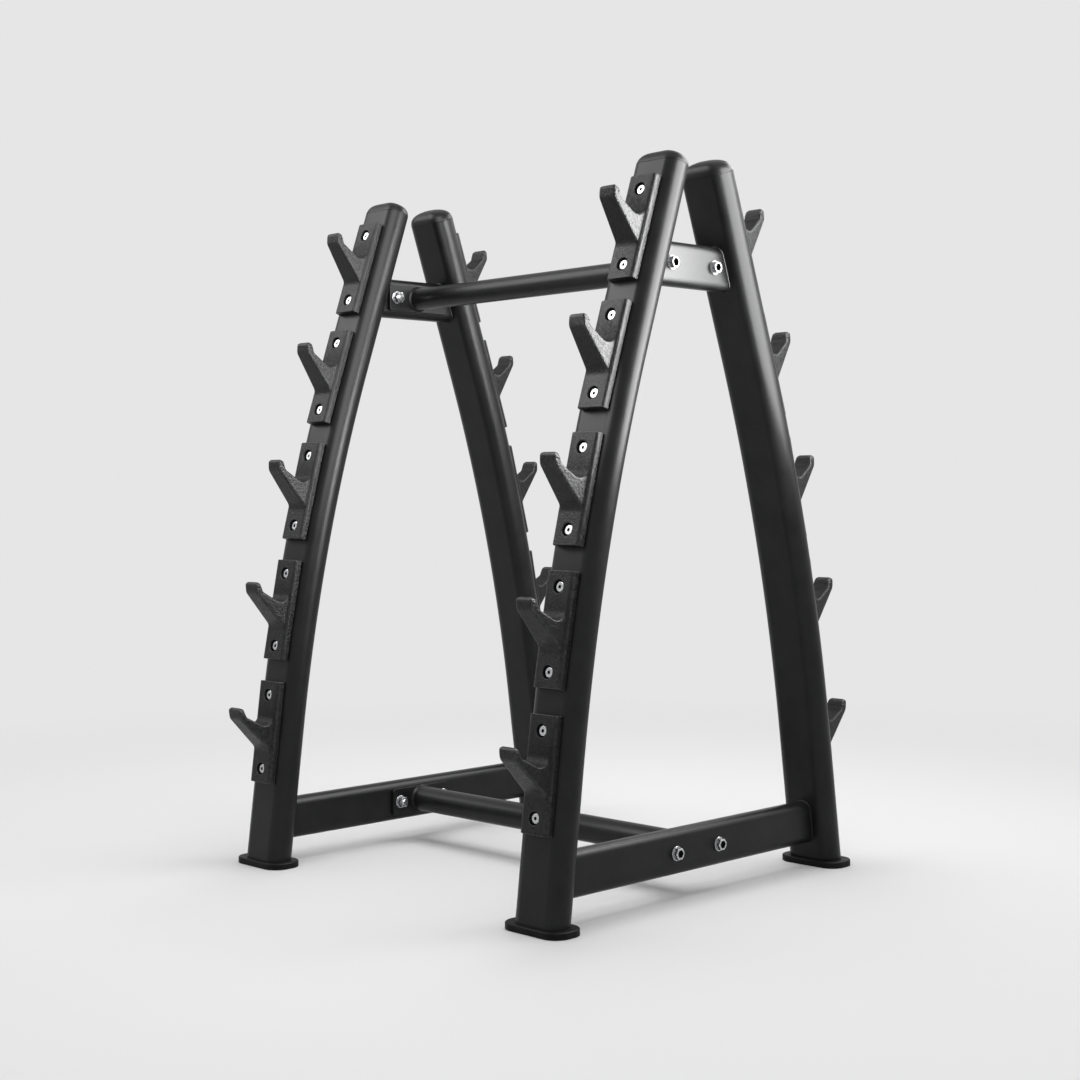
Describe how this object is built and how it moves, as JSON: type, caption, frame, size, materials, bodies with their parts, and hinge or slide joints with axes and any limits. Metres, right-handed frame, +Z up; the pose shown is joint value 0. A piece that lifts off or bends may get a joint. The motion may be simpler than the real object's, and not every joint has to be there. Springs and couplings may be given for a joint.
{
  "type": "barbell storage rack",
  "caption": "Free-standing A-frame storage rack for fixed-weight barbells, with bowed oval uprights, tie bars and moulded hooks on both sides.",
  "frame": {"origin": "on the floor, in the middle of the four feet", "axes": "+Z up, +X along the stored barbells towards the right end frame, +Y from the front hooks to the back hooks"},
  "size_m": [1.01, 1.0138, 1.4793],
  "materials": {
    "powder_coat": "satin",
    "hook_plastic": "matte",
    "end_cap": "satin",
    "foot": "matte",
    "zinc_plate": "satin"
  },
  "bodies": {
    "root": {"upright_right_front": "powder_coat", "cap_right_front": "end_cap", "foot_right_front": "foot", "hook_right_front_1": "hook_plastic", "hook_right_front_2": "hook_plastic", "hook_right_front_3": "hook_plastic", "hook_right_front_4": "hook_plastic", "hook_right_front_5": "hook_plastic", "upright_right_back": "powder_coat", "cap_right_back": "end_cap", "foot_right_back": "foot", "hook_right_back_1": "hook_plastic", "hook_right_back_2": "hook_plastic", "hook_right_back_3": "hook_plastic", "hook_right_back_4": "hook_plastic", "hook_right_back_5": "hook_plastic", "cross_tube_right_lower": "powder_coat", "flange_right_lower": "powder_coat", "bolt_right_lower_front": "zinc_plate", "nut_right_lower_front": "zinc_plate", "bolt_right_lower_back": "zinc_plate", "nut_right_lower_back": "zinc_plate", "cross_tube_right_upper": "powder_coat", "flange_right_upper": "powder_coat", "bolt_right_upper_front": "zinc_plate", "nut_right_upper_front": "zinc_plate", "bolt_right_upper_back": "zinc_plate", "nut_right_upper_back": "zinc_plate", "upright_left_front": "powder_coat", "cap_left_front": "end_cap", "foot_left_front": "foot", "hook_left_front_1": "hook_plastic", "hook_left_front_2": "hook_plastic", "hook_left_front_3": "hook_plastic", "hook_left_front_4": "hook_plastic", "hook_left_front_5": "hook_plastic", "upright_left_back": "powder_coat", "cap_left_back": "end_cap", "foot_left_back": "foot", "hook_left_back_1": "hook_plastic", "hook_left_back_2": "hook_plastic", "hook_left_back_3": "hook_plastic", "hook_left_back_4": "hook_plastic", "hook_left_back_5": "hook_plastic", "cross_tube_left_lower": "powder_coat", "flange_left_lower": "powder_coat", "bolt_left_lower_front": "zinc_plate", "nut_left_lower_front": "zinc_plate", "bolt_left_lower_back": "zinc_plate", "nut_left_lower_back": "zinc_plate", "cross_tube_left_upper": "powder_coat", "flange_left_upper": "powder_coat", "bolt_left_upper_front": "zinc_plate", "nut_left_upper_front": "zinc_plate", "bolt_left_upper_back": "zinc_plate", "nut_left_upper_back": "zinc_plate", "tie_bar_lower": "powder_coat", "tie_bar_upper": "powder_coat"}
  },
  "joints": []
}
